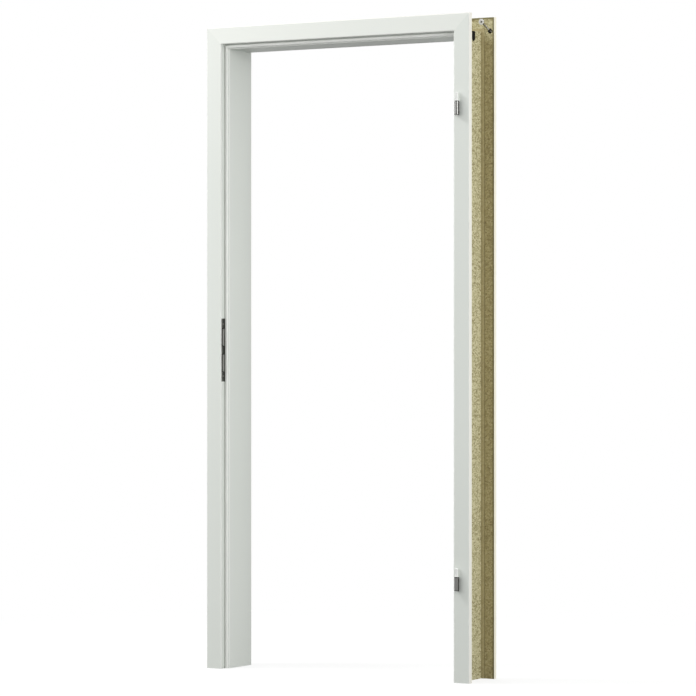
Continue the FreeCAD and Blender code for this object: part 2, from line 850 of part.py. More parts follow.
def receiver_outline(height_half, growth=0):
    """The receiver's outline as (depth, height) about the hinge's middle height."""
    return (receiver_front - growth, receiver_rear + growth, -height_half - growth, height_half + growth,
            size.receiver_round)


def shifted(outline, height):
    low_x, high_x, low_y, high_y, radius = outline
    return box_outline(low_x, high_x, low_y + height, high_y + height, radius)


def hinge_receiver(name, height):
    """Steel block let into the frame from the wall side, with a flange that is screwed on."""
    body = new_body(name)
    block = box_outline(*receiver_outline(size.receiver_height / 2))
    flange = box_outline(*receiver_outline(size.receiver_flange_height / 2))
    pad(body, draw(body, "YZ_Plane", [block], level=receiver_inner), leg_half - receiver_inner)
    pad(body, draw(body, "YZ_Plane", [flange], level=leg_half), size.receiver_flange)
    bores = [Ring(hinge_x, size.stud_spacing / 2 * way, size.stud_radius + size.stud_play) for way in (-1, 1)]
    pocket(body, draw(body, "XZ_Plane", bores, level=-receiver_front),
           size.receiver_width - size.receiver_end_wall)
    thread_radius = size.clamp_screw_radius + size.clamp_screw_play
    threads = [Ring(receiver_middle, size.stud_spacing / 2 * way, thread_radius) for way in (-1, 1)]
    pocket(body, draw(body, "YZ_Plane", threads, level=receiver_outer), receiver_outer - hinge_x)
    for depth, rise in receiver_screw_places:
        countersink(body, receiver_outer, size.receiver_flange, depth, rise)
    place(body, 0, 0, height)
    return body


def clamp_screw(name, height):
    """Headless screw with a socket, turned in from the wall side against a stud."""
    body = new_body(name)
    inner = hinge_x + size.stud_radius + size.screw_play
    length = receiver_outer + size.clamp_screw_proud - inner
    turn(body, box_outline(0, size.clamp_screw_radius, 0, length))
    socket = hexagon_outline(size.clamp_socket_flats)
    pocket(body, draw(body, "XY_Plane", [socket], level=length), size.clamp_socket_depth)
    place(body, inner, receiver_middle, height, frame_of(vector(1, 0, 0), vector(0, 0, 1)))
    return body


def cut_for_hinge(body, height):
    """Stud holes and the receiver's pocket in the right rebate-side architrave."""
    studs = [Ring(hinge_x, height + size.stud_spacing / 2 * way, size.stud_radius + size.stud_play)
             for way in (-1, 1)]
    pocket(body, draw(body, "XZ_Plane", studs), receiver_front + size.stud_play)
    cut_receiver_pocket(body, height)
    holes = [Ring(depth, height + rise, size.screw_shank_radius + size.screw_play)
             for depth, rise in receiver_screw_places]
    pocket(body, draw(body, "YZ_Plane", holes, level=leg_half), leg_half - lining_half)


def cut_receiver_pocket(body, height):
    outline = shifted(receiver_outline(size.receiver_height / 2, size.receiver_play), height)
    sketch = draw(body, "YZ_Plane", [outline], level=leg_half)
    pocket(body, sketch, leg_half - receiver_inner + size.receiver_play)


# Corner brackets of the lining
def bracket_outline(along, growth=0):
    """Outline as (depth, distance): a blunt point at the far end, past the corner at the other."""
    high = tongue_groove_end - size.bracket_groove_gap + growth
    low = high - size.bracket_width - growth * 2
    tip = low + size.bracket_tip
    end = lining_half - size.bracket_length - growth
    return [(low, end + size.bracket_front_taper), (tip, end, size.bracket_tip_round),
            (high, end + size.bracket_rear_taper), (high, along), (low, along)]


def corner_bracket(name, side):
    """Black angle bracket sunk into the outer faces of two linings where they meet."""
    body = new_body(name)
    outer = lining_half - size.bracket_sunk
    upright = [(depth, distance + mitre_rise, *bend) for depth, distance, *bend in bracket_outline(outer)]
    level = [(distance * side, depth, *bend) for depth, distance, *bend in bracket_outline(outer)]
    inner = outer - size.bracket_thickness
    sketch = draw(body, "YZ_Plane", [Outline(upright)], level=inner * side)
    pad(body, sketch, size.bracket_thickness, backwards=side < 0)
    pad(body, draw(body, "XY_Plane", [Outline(level)], level=inner + mitre_rise), size.bracket_thickness)
    place(body)
    return body


def bracket_pocket_depth():
    return size.bracket_thickness + size.bracket_sunk + size.bracket_play


def cut_side_for_bracket(body, side):
    corners = [(depth, distance + mitre_rise, *bend)
               for depth, distance, *bend in bracket_outline(outer_half, size.bracket_play)]
    sketch = draw(body, "YZ_Plane", [Outline(corners)], level=lining_half * side)
    pocket(body, sketch, bracket_pocket_depth(), backwards=side < 0)


def cut_head_for_bracket(body, side):
    corners = [(distance * side, depth, *bend)
               for depth, distance, *bend in bracket_outline(outer_half, size.bracket_play)]
    sketch = draw(body, "XY_Plane", [Outline(corners)], level=lining_half + mitre_rise)
    pocket(body, sketch, bracket_pocket_depth())


def build():
    """Make every sub-part and return them in order."""
    nodes = []
    linings = three_pieces("lining", lining_section())
    fronts = three_pieces("architrave_front", front_section())
    rears = three_pieces("architrave_rear", rear_section())
    tongues = three_pieces("tongue", tongue_section())
    seals = three_pieces("seal", seal_corners())
    for side, sign in SIDES.items():
        hollow_seal(seals[side], chamber_in_side(sign))
    hollow_seal(seals["head"], chamber_in_head)
    for pieces in (linings, fronts, rears, tongues, seals):
        nodes.extend(pieces.values())

    boards = {
        "front": (fronts, size.board_thickness, -1),
        "rear": (rears, rear_face, 1),
    }
    for side, sign in SIDES.items():
        cut_side_for_bracket(linings[side], sign)
        cut_head_for_bracket(linings["head"], sign)
        nodes.append(corner_bracket(f"corner_bracket_{side}", sign))
        for row, (pieces, wall_side, inward) in boards.items():
            cut_side_for_connector(pieces[side], sign, wall_side, inward)
            cut_head_for_connector(pieces["head"], sign, wall_side, inward)
            nodes.append(mitre_cam(f"mitre_cam_{row}_{side}", sign, wall_side, inward))
            nodes.append(mitre_bolt(f"mitre_bolt_{row}_{side}", sign, wall_side, inward))
            nodes.append(mitre_nut(f"mitre_nut_{row}_{side}", sign, wall_side, inward))

    cut_for_strike(fronts["left"])
    nodes.append(strike_plate())
    nodes.append(group("strike_screws", [
        wood_screw(f"strike_screw_{number}", size.strike_screw_length, -rebate_half, strike_screw_depth,
                   height, vector(-1, 0, 0))
        for number, height in enumerate(strike_screw_heights)]))

    for level, height in hinge_heights.items():
        cut_for_hinge(fronts["right"], height)
        cut_receiver_pocket(linings["right"], height)
        nodes.append(hinge_knuckle(f"hinge_knuckle_{level}", height))
        nodes.append(hinge_pin(f"hinge_pin_{level}", height))
        nodes.append(hinge_sleeve(f"hinge_sleeve_{level}", height))
        nodes.append(hinge_receiver(f"hinge_receiver_{level}", height))
        nodes.append(group(f"hinge_clamp_screws_{level}", [
            clamp_screw(f"clamp_screw_{level}_{number}", height + size.stud_spacing / 2 * way)
            for number, way in enumerate((-1, 1))]))
        nodes.append(group(f"hinge_wood_screws_{level}", [
            wood_screw(f"hinge_screw_{level}_{number}", receiver_screw_length, receiver_outer,
                       depth, height + rise, vector(-1, 0, 0))
            for number, (depth, rise) in enumerate(receiver_screw_places)]))
    return nodes


def check_document():
    for item in doc.Objects:
        if "Invalid" in item.State or "Error" in item.State:
            raise RuntimeError(f"{item.Label} failed: {item.State}")


def export(nodes):
    os.makedirs("parts", exist_ok=True)
    for node in nodes:
        if node.Shape.isNull() or not node.Shape.isValid():
            raise RuntimeError(f"{node.Label} has no sound shape")
    for node in nodes:
        node.Shape.exportStep(f"parts/{node.Label}.step")
        print(node.Label, len(node.Shape.Solids), round(node.Shape.Volume))


all_nodes = build()
doc.recompute()
check_document()
export(all_nodes)
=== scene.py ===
import json
import math
from types import SimpleNamespace

import bpy
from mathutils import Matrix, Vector


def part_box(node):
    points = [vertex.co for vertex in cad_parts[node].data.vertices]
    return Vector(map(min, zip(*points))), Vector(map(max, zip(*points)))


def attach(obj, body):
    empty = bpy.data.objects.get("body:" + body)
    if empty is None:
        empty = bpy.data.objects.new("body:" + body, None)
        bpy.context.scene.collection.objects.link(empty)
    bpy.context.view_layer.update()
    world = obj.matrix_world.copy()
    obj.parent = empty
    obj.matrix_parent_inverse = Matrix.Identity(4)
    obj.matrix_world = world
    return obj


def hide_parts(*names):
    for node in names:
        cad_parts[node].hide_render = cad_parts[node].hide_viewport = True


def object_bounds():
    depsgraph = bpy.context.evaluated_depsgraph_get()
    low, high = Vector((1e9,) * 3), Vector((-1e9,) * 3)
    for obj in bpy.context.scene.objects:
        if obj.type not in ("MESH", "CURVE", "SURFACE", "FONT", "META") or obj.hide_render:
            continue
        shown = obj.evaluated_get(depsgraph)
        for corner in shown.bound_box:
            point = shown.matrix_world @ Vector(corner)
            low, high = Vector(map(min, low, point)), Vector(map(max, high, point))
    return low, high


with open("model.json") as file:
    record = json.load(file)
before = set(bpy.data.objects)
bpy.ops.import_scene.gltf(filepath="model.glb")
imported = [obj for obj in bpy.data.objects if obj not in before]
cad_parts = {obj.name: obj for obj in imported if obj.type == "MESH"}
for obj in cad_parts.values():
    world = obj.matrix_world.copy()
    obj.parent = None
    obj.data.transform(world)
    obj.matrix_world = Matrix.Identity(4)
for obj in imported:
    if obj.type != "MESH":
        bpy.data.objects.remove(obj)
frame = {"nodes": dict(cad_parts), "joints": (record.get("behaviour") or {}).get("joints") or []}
cad_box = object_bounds()
nodes = frame["nodes"]
MM = 0.001
SIDES = {"left": -1, "right": 1}
PLACES = (*SIDES, "head")
LEVELS = ("upper", "lower")
ROWS = {"front": "frame", "rear": "rear_frame"}

# Section of the frame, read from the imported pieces. The halves and the reach are distances from
# the middle of the doorway
lining_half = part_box("lining_right")[1].x
rebate_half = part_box("architrave_front_right")[0].x
outer_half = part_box("architrave_front_right")[1].x
rear_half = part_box("architrave_rear_right")[0].x
foot_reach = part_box("tongue_right")[1].x
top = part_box("architrave_front_head")[1].z
mitre_rise = top - outer_half
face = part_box("architrave_front_head")[0].y
front_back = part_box("lining_right")[0].y
rear_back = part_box("architrave_rear_head")[1].y
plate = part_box("strike_plate")

# Painted shade: the black painted on the pocket walls behind the strike plate, how far it stays
# within the plate's ends and front, and how deep into the board it goes
PLATE_END = 20 * MM
PLATE_FRONT = 2 * MM
pocket_reach = rebate_half + 18 * MM

# Limits for a face's normal: FACING tells which way it looks, SQUARE_DOWN a leg's foot,
# SAWN_SLANT a mitre cut, and the ARRIS limits the rounding between a face and an edge, where a
# painted highlight goes
FACING = 0.5
SQUARE_DOWN = 0.9
SAWN_SLANT = 0.6
ARRIS_EDGE = 0.08
ARRIS_FACE = (0.8, 0.99)

# Laminate beside raw chipboard, and the part of a rear board that no pocket reaches
FOIL = 0.7 * MM
REAR_LIP = 4 * MM
# Every point of a rounded arris lies nearer than this to one of the two faces that it joins
ARRIS = 1 * MM

# Tones of the boards
WHITE = (0.800, 0.825, 0.785)
WHITE_SHADE = (0.770, 0.800, 0.760)
# Painted light and shade: a lighter and a dimmer white, each with a second tone, for the
# rebate-side faces
PAINTED_LIGHT_WHITE = (0.872, 0.886, 0.845)
PAINTED_LIGHT_SECOND_WHITE = (0.842, 0.860, 0.820)
PAINTED_SHADE_WHITE = (0.764, 0.788, 0.750)
PAINTED_SHADE_SECOND_WHITE = (0.735, 0.764, 0.726)
# Painted light and shade on the rebate-side faces: a lighter white on the head and near the top of
# the left leg, and a dimmer white on the lower part of the right leg, standing in for the light
# from the
# upper left. For each board: where the change along the board starts and ends, in metres, the
# share of the second white at both places, and its two tones
PAINTED_LIGHT_AND_SHADE_TONES = {
    "architrave_front_head": ((-outer_half, outer_half, 0.92, 0.66), (PAINTED_LIGHT_WHITE, PAINTED_LIGHT_SECOND_WHITE)),
    "architrave_front_left": ((top - 0.487, top, 0.0, 0.55), (PAINTED_LIGHT_WHITE, PAINTED_LIGHT_SECOND_WHITE)),
    "architrave_front_right": ((top - 0.437, top - 0.087, 1.0, 0.0), (PAINTED_SHADE_WHITE, PAINTED_SHADE_SECOND_WHITE)),
}
# Painted highlight: a lighter white on the rounded arrises
ARRIS_HIGHLIGHT = (0.960, 0.970, 0.940)
# Painted light: the outer edge of a front board is a lighter white than its face
EDGE_PAINTED_LIGHT = (0.880, 0.865, 0.812)
CREAM = (0.985, 0.940, 0.790)
EDGE_WARMTH = 0.7
CHIP_TONES = (
    (0.16, (0.209, 0.170, 0.080)),
    (0.34, (0.412, 0.373, 0.202)),
    (0.58, (0.582, 0.541, 0.326)),
    (0.76, (0.737, 0.691, 0.466)),
    (0.90, (0.339, 0.291, 0.151)),
)
BROWN_TONES = (
    (0.12, (0.200, 0.155, 0.072)),
    (0.34, (0.360, 0.300, 0.152)),
    (0.60, (0.465, 0.400, 0.210)),
    (0.80, (0.580, 0.515, 0.300)),
    (0.92, (0.280, 0.225, 0.110)),
)
# Painted shade: black for the pocket walls behind the strike plate
POCKET_PAINTED_SHADE = (0.006, 0.006, 0.006)

# Rear architrave: widths of its dark strips beside the outer edge and beside the tongue's foot,
# the
# one beside the foot painted shade, and the heights between which the brown wall side turns light:
# below them the board's browner tint darkened as painted shade, above them painted light near the
# mitre
OLIVE = (0.180, 0.155, 0.065)
OLIVE_SHARE = 0.85
EDGE_SHADE = 6 * MM
FOOT_SHADE = 2.5 * MM
mitre_painted_light = (top - 82 * MM, top - 42 * MM)
BROWN_LEFT = 0.15
FOOT_LIGHT = (0.470, 0.405, 0.225)
FOOT_SHARE = 0.6

# Chipboard: the flakes' slant and stretch, how far they wander, their cells per metre, and the
# shares of both sizes and of the slow change in the tone
FLAKE_STRETCH = (1.1, 0.75, 1.2)
FLAKE_TURN = (0.6, 0.3, 0.2)
FLAKE_WANDER = (0.003, 0.003, 0.003)
WANDER_SCALE = 260
LARGE_FLAKES = 200
SMALL_FLAKES = 520
CHIP_DRIFT = 9
LARGE_SHARE = 0.5
SMALL_SHARE = 0.3
DRIFT_SHARE = 0.2

# Surface of the boards: the range of the roughness, the depth and strength of the relief, and the
# scales of the laminate's pores and of its slow change of tone
LAMINATE_ROUGHNESS = (0.48, 0.56)
LAMINATE_GLOSS = 0.35
CHIP_ROUGHNESS = (0.75, 0.95)
TONGUE_ROUGHNESS = (0.70, 0.90)
BOARD_RELIEF = (0.25 * MM, 0.6)
TONGUE_RELIEF = (0.20 * MM, 0.5)
PORE_DEPTH = 0.06
PORES = 1500
WHITE_DRIFT = 2.2

# Places of a Mix node's sockets, since their names repeat: two numbers, two colours, and the
# output for each
MIX_NUMBERS = (2, 3)
MIX_COLOURS = (6, 7)
MIXED_NUMBER = 0
MIXED_COLOUR = 2


class Graph:
    """The shader nodes of a material or world, with a short call for each kind used here."""

    def __init__(self, owner):
        owner.use_nodes = True
        self.owner = owner
        self.nodes = owner.node_tree.nodes
        self.links = owner.node_tree.links
        self.shader = self.nodes.get("Principled BSDF") or self.nodes["Background"]
        place = self.nodes.new("ShaderNodeTexCoord")
        self.place = place.outputs["Object"]
        self.normal = place.outputs["Normal"]

    def feed(self, socket, value):
        """Link a socket, or set a number or a colour on it."""
        if isinstance(value, bpy.types.NodeSocket):
            self.links.new(value, socket)
        elif isinstance(value, tuple) and len(value) == 3 and socket.type == "RGBA":
            socket.default_value = (*value, 1)
        else:
            socket.default_value = value

    def maths(self, operation, first, second=0.0):
        node = self.nodes.new("ShaderNodeMath")
        node.operation = operation
        self.feed(node.inputs[0], first)
        self.feed(node.inputs[1], second)
        return node.outputs[0]

    def every(self, *conditions):
        """1 where all the given masks are 1."""
        product = conditions[0]
        for condition in conditions[1:]:
            product = self.maths("MULTIPLY", product, condition)
        return product

    def some(self, *conditions):
        """1 where any of the given masks is 1."""
        highest = conditions[0]
        for condition in conditions[1:]:
            highest = self.maths("MAXIMUM", highest, condition)
        return highest

    def above(self, value, limit):
        return self.maths("GREATER_THAN", value, limit)

    def below(self, value, limit):
        return self.maths("LESS_THAN", value, limit)

    def axes(self, vector):
        node = self.nodes.new("ShaderNodeSeparateXYZ")
        self.links.new(vector, node.inputs[0])
        return node.outputs

    def stretched(self, scale, turned=(0, 0, 0)):
        node = self.nodes.new("ShaderNodeMapping")
        self.links.new(self.place, node.inputs["Vector"])
        node.inputs["Rotation"].default_value = turned
        node.inputs["Scale"].default_value = scale
        return node.outputs[0]

    def noise(self, scale, detail=3.0, place=None):
        node = self.nodes.new("ShaderNodeTexNoise")
        self.links.new(place or self.place, node.inputs["Vector"])
        node.inputs["Scale"].default_value = scale
        node.inputs["Detail"].default_value = detail
        return node.outputs["Fac"]

    def cells(self, scale, place):
        """A random grey for each cell of a broken-up pattern."""
        node = self.nodes.new("ShaderNodeTexVoronoi")
        self.links.new(place, node.inputs["Vector"])
        node.inputs["Scale"].default_value = scale
        grey = self.nodes.new("ShaderNodeSeparateColor")
        self.links.new(node.outputs["Color"], grey.inputs[0])
        return grey.outputs[0]

    def ramp(self, factor, stops):
        node = self.nodes.new("ShaderNodeValToRGB")
        self.links.new(factor, node.inputs[0])
        elements = node.color_ramp.elements
        while len(elements) < len(stops):
            elements.new(0.5)
        for element, (position, colour) in zip(elements, stops):
            element.position = position
            element.color = (*colour, 1)
        return node.outputs["Color"]

    def spread(self, value, low, high):
        """Stretch a value of 0 to 1 to the range from low to high."""
        node = self.nodes.new("ShaderNodeMapRange")
        self.feed(node.inputs["Value"], value)
        node.inputs["To Min"].default_value = low
        node.inputs["To Max"].default_value = high
        return node.outputs[0]

    def within(self, value, start, end, low, high):
        """Ease from low to high as a value goes from start to end."""
        node = self.nodes.new("ShaderNodeMapRange")
        node.interpolation_type = "SMOOTHSTEP"
        self.feed(node.inputs["Value"], value)
        ends = {"From Min": start, "From Max": end, "To Min": low, "To Max": high}
        for name, number in ends.items():
            node.inputs[name].default_value = number
        return node.outputs[0]

    def mix(self, kind, factor, places, values):
        node = self.nodes.new("ShaderNodeMix")
        node.data_type = kind
        self.feed(node.inputs[0], factor)
        for place, value in zip(places, values):
            self.feed(node.inputs[place], value)
        return node.outputs

    def blend(self, factor, first, second):
        """Mix two colours."""
        return self.mix("RGBA", factor, MIX_COLOURS, (first, second))[MIXED_COLOUR]

    def between(self, factor, first, second):
        """Mix two numbers."""
        return self.mix("FLOAT", factor, MIX_NUMBERS, (first, second))[MIXED_NUMBER]

    def bump(self, height, distance, strength):
        node = self.nodes.new("ShaderNodeBump")
        self.links.new(height, node.inputs["Height"])
        node.inputs["Distance"].default_value = distance
        node.inputs["Strength"].default_value = strength
        self.links.new(node.outputs["Normal"], self.shader.inputs["Normal"])

    def finish(self, **values):
        """Set the shader's sockets by their names in small letters."""
        for name, value in values.items():
            label = name.replace("_", " ").title().replace("Ior", "IOR")
            self.feed(self.shader.inputs[label], value)
        return self.owner


def material_graph(name):
    return Graph(bpy.data.materials.new(name))


def dress(name, material):
    """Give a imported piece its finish."""
    slots = nodes[name].data.materials
    slots.clear()
    slots.append(material)


# Boards
def chip_colour(graph, tones):
    """Pressed wood flakes: slanting broken cells of two sizes over a slow change of tone."""
    slanting = graph.stretched(FLAKE_STRETCH, turned=FLAKE_TURN)
    shift = graph.nodes.new("ShaderNodeTexNoise")
    graph.links.new(graph.place, shift.inputs["Vector"])
    shift.inputs["Scale"].default_value = WANDER_SCALE
    wobble = graph.nodes.new("ShaderNodeVectorMath")
    wobble.operation = "MULTIPLY_ADD"
    graph.links.new(shift.outputs["Color"], wobble.inputs[0])
    wobble.inputs[1].default_value = FLAKE_WANDER
    graph.links.new(slanting, wobble.inputs[2])
    large = graph.cells(LARGE_FLAKES, wobble.outputs[0])
    small = graph.cells(SMALL_FLAKES, wobble.outputs[0])
    slow = graph.noise(CHIP_DRIFT, detail=2)
    flakes = graph.maths("ADD", graph.maths("MULTIPLY", large, LARGE_SHARE),
                         graph.maths("MULTIPLY", small, SMALL_SHARE))
    mixed = graph.maths("ADD", flakes, graph.maths("MULTIPLY", slow, DRIFT_SHARE))
    return graph.ramp(mixed, tones), mixed


def board_place(graph, place):
    """Sockets for a point of a board: its place along x, out from the doorway, in depth and in
    height, how far it faces outward and backward, and whether it lies on a sawn end."""
    x, y, z = graph.axes(graph.place)
    normal_x, normal_y, normal_z = graph.axes(graph.normal)
    sawn = graph.every(graph.above(graph.maths("ABSOLUTE", normal_x), SAWN_SLANT),
                       graph.above(graph.maths("ABSOLUTE", normal_z), SAWN_SLANT))
    if place == "head":
        across = graph.maths("SUBTRACT", z, mitre_rise)
        outward = normal_z
    else:
        sawn = graph.some(sawn, graph.below(normal_z, -SQUARE_DOWN))
        across = graph.maths("MULTIPLY", x, SIDES[place])
        outward = graph.maths("MULTIPLY", normal_x, SIDES[place])
    return SimpleNamespace(x=x, across=across, depth=y, height=z, outward=outward,
                           backward=normal_y, sawn=sawn)


def paint_face_light_and_shade(graph, name, spot, slow, white):
    """Painted light and shade: the rebate-side faces ease to a second white along the board,
    lighter on the head and the top of the left leg, dimmer low on the right leg.
    """
    ease, tones = PAINTED_LIGHT_AND_SHADE_TONES[name]
    along = spot.x if name == "architrave_front_head" else spot.height
    share = graph.every(graph.within(along, *ease), graph.below(spot.backward, -FACING))
    return graph.blend(share, white, graph.blend(slow, *tones))


def board_finish(name, place, bare_faces, paint):
    """White laminate on the shown faces, lighter on the arrises as a painted highlight and with
    painted light and shade on the rebate-side faces, and chipboard on the others.
    """
    graph = material_graph(name)
    spot = board_place(graph, place)
    bare = graph.some(bare_faces(graph, spot), spot.sawn)
    slow = graph.noise(WHITE_DRIFT, detail=1)
    pores = graph.noise(PORES, detail=2)
    turning = graph.maths("ABSOLUTE", spot.backward)
    arris = graph.every(graph.within(turning, *ARRIS_FACE, 1.0, 0.0),
                        graph.above(turning, ARRIS_EDGE))
    white = graph.blend(slow, WHITE, WHITE_SHADE)
    # Painted light and shade on the rebate-side faces
    if name in PAINTED_LIGHT_AND_SHADE_TONES:
        white = paint_face_light_and_shade(graph, name, spot, slow, white)
    # Painted highlight on the arrises
    white = graph.blend(arris, white, ARRIS_HIGHLIGHT)
    laminate, chips, grain = paint(graph, spot, white)
    roughness = graph.between(bare, graph.spread(pores, *LAMINATE_ROUGHNESS),
                              graph.spread(grain, *CHIP_ROUGHNESS))
    height = graph.between(bare, graph.maths("MULTIPLY", pores, PORE_DEPTH), grain)
    graph.bump(height, *BOARD_RELIEF)
    return graph.finish(base_color=graph.blend(bare, laminate, chips), roughness=roughness,
                        specular_ior_level=LAMINATE_GLOSS)


def lining_bare(graph, spot):
    outer = graph.every(graph.above(spot.outward, FACING),
                        graph.above(spot.across, lining_half - FOIL))
    rear = graph.every(graph.above(spot.backward, FACING),
                       graph.above(spot.across, rear_half + FOIL))
    front = graph.every(graph.below(spot.backward, -FACING),
                        graph.above(spot.across, rebate_half))
    return graph.some(outer, rear, front)


def lining_paint(graph, spot, laminate):
    chips, grain = chip_colour(graph, CHIP_TONES)
    return laminate, chips, grain


def front_bare(graph, spot):
    inside = graph.below(spot.across, outer_half - ARRIS)
    behind = graph.above(spot.depth, face + ARRIS)
    wall_side = graph.every(graph.above(spot.backward, FACING), inside)
    leg = graph.every(graph.above(spot.outward, FACING), inside, behind)
    pockets = graph.every(graph.above(spot.across, rebate_half + ARRIS), inside, behind)
    return graph.some(wall_side, leg, pockets)


def front_paint(graph, spot, laminate):
    """The outer edge has a painted-light white that warms towards the wall; painted shade, in
    black, lines the pockets behind the strike plate.
    """
    chips, grain = chip_colour(graph, CHIP_TONES)
    # Painted light on the outer edge, warming towards the wall
    warmth = graph.within(spot.depth, face, front_back, 0.0, EDGE_WARMTH)
    edge = graph.blend(warmth, EDGE_PAINTED_LIGHT, CREAM)
    laminate = graph.blend(graph.above(spot.outward, FACING), laminate, edge)
    # Painted shade in the pockets behind the strike plate
    pocket_shade = graph.every(
        graph.above(spot.across, rebate_half + FOIL),
        graph.below(spot.across, pocket_reach),
        graph.above(spot.depth, plate[0].y + PLATE_FRONT),
        graph.below(spot.depth, plate[1].y),
        graph.above(spot.height, plate[0].z + PLATE_END),
        graph.below(spot.height, plate[1].z - PLATE_END),
    )
    return laminate, graph.blend(pocket_shade, chips, POCKET_PAINTED_SHADE), grain


def rear_bare(graph, spot):
    within_foil = graph.every(graph.above(spot.across, rear_half + FOIL),
                              graph.below(spot.across, outer_half - FOIL))
    wall_side = graph.every(graph.below(spot.backward, -FACING), within_foil)
    pockets = graph.every(graph.below(spot.depth, rear_back - REAR_LIP), within_foil)
    return graph.some(wall_side, pockets)


def rear_paint(graph, spot, laminate):
    """Cream outer edge; the wall side is browner below the mitre, the board's tint darkened as
    painted shade, and dark in two strips, the one beside the tongue's foot painted shade.
    """
    brown, _ = chip_colour(graph, BROWN_TONES)
    light, grain = chip_colour(graph, CHIP_TONES)
    # Painted shade below the mitre and painted light near it, over the board's browner tint
    painted_shade_below_mitre = graph.within(spot.height, *mitre_painted_light, 1.0, BROWN_LEFT)
    chips = graph.blend(painted_shade_below_mitre, light, brown)
    wall_side = graph.below(spot.backward, -FACING)
    beside_edge = graph.above(spot.across, outer_half - EDGE_SHADE)
    # Painted shade beside the tongue's foot, and a dark strip beside the outer edge
    beside_foot = graph.every(graph.below(spot.across, foot_reach + FOOT_SHADE), painted_shade_below_mitre)
    shaded = graph.every(graph.some(beside_edge, beside_foot), wall_side, OLIVE_SHARE)
    chips = graph.blend(shaded, chips, OLIVE)
    return graph.blend(graph.above(spot.outward, FACING), laminate, CREAM), chips, grain


def tongue_finish(place):
    graph = material_graph(f"tongue_{place}")
    chips, grain = chip_colour(graph, BROWN_TONES)
    graph.bump(grain, *TONGUE_RELIEF)
    return graph.finish(base_color=graph.blend(FOOT_SHARE, chips, FOOT_LIGHT),
                        roughness=graph.spread(grain, *TONGUE_ROUGHNESS))


def dress_boards():
    kinds = {
        "lining": (lining_bare, lining_paint),
        "architrave_front": (front_bare, front_paint),
        "architrave_rear": (rear_bare, rear_paint),
    }
    for place in PLACES:
        for kind, (bare_faces, paint) in kinds.items():
            name = f"{kind}_{place}"
            dress(name, board_finish(name, place, bare_faces, paint))
        dress(f"tongue_{place}", tongue_finish(place))


# Seal, metal and plastic: how drawn, brushed and turned steel stretches its marks, the scales of
# the marks, of the grain and of the slow changes of tone, the depth and strength of the relief,
# and how far the roughness spreads
DRAWN = (1, 1, 0.08)
BRUSHED = (1, 1, 0.06)
TURNED = (0.1, 0.1, 1)
MARKS = 900
FINE_MARKS = 1400
METAL_DRIFT = 60
PLASTIC_GRAIN = 1600
PLASTIC_DRIFT = 90
SEAL_GRAIN = 2200
SEAL_DRIFT = 40
FINE_RELIEF = (0.03 * MM, 0.5)
CAST_RELIEF = (0.06 * MM, 0.5)
METAL_SPREAD = (-0.06, 0.08)
PLASTIC_SPREAD = (-0.05, 0.05)

# Two tones and the roughness of each plain finish
NICKEL_STEEL = ((0.36, 0.36, 0.35), (0.29, 0.29, 0.28), 0.24)
TURNED_STEEL = ((0.78, 0.78, 0.76), (0.64, 0.64, 0.62), 0.36)
SCREW_STEEL = ((0.50, 0.50, 0.48), (0.40, 0.40, 0.39), 0.32)
# Painted shade: the nuts' steel is near black to stand for the shade in their recesses
NUT_STEEL_PAINTED_SHADE = ((0.060, 0.058, 0.052), (0.040, 0.038, 0.034), 0.45)
CAST_ZINC = ((0.62, 0.62, 0.60), (0.48, 0.48, 0.47), 0.45)
WHITE_PLASTIC = ((0.82, 0.83, 0.81), (0.78, 0.79, 0.77), 0.35)
BLACK_PLASTIC = ((0.004, 0.004, 0.004), (0.007, 0.007, 0.006), 0.60)
PLASTIC_GLOSS = 0.45
BRACKET_GLOSS = 0.12

SEAL_TONES = ((0.970, 0.975, 0.945), (0.92, 0.93, 0.90))
SEAL_ROUGHNESS = (0.30, 0.42)
SEAL_GLOSS = 0.8

# Strike plate: its tones, how far behind its front the lugs start, and the painted light on their
# front faces
STRIKE_TONES = ((0.185, 0.190, 0.176), (0.130, 0.136, 0.124))
STRIKE_ROUGHNESS = (0.32, 0.46)
LUG_START = 5 * MM
LUG_PAINTED_LIGHT = (0.88, 0.89, 0.86)

# Hinge knuckle: its tones, the shares of its radius ahead of the pin between which painted shade,
# standing for dark reflections and contact shade, darkens it towards the wall, and the painted
# shade at its ends
KNUCKLE_GREY = (0.19, 0.19, 0.184)
KNUCKLE_PAINTED_SHADE = (0.06, 0.062, 0.056)
KNUCKLE_ROUGHNESS = (0.18, 0.32)
KNUCKLE_SHADE_SPAN = (0.8, 0.2)
KNUCKLE_EDGE = 1 * MM
KNUCKLE_FADE = 5 * MM
KNUCKLE_END_SHARE = 0.7


def seal_finish():
    graph = material_graph("seal")
    slow = graph.noise(SEAL_DRIFT, detail=2)
    fine = graph.noise(SEAL_GRAIN, detail=1)
    graph.bump(fine, *FINE_RELIEF)
    return graph.finish(base_color=graph.blend(slow, *SEAL_TONES),
                        roughness=graph.spread(fine, *SEAL_ROUGHNESS),
                        specular_ior_level=SEAL_GLOSS)


def around(rough, spread):
    """The range of the roughness about its usual value."""
    return [rough + change for change in spread]


def metal_marks(graph, colour, shade, stretch, scale):
    """Fine marks, stretched one way for a drawn or brushed surface, and the tone they give."""
    marks = graph.noise(scale, place=graph.stretched(stretch))
    slow = graph.noise(METAL_DRIFT, detail=2)
    share = graph.maths("MULTIPLY", graph.maths("ADD", marks, slow), 0.5)
    return marks, graph.blend(share, colour, shade)


def metal_finish(name, colour, shade, rough, stretch=(1, 1, 1), scale=MARKS, relief=FINE_RELIEF):
    graph = material_graph(name)
    marks, tone = metal_marks(graph, colour, shade, stretch, scale)
    graph.bump(marks, *relief)
    return graph.finish(base_color=tone, metallic=1.0,
                        roughness=graph.spread(marks, *around(rough, METAL_SPREAD)))


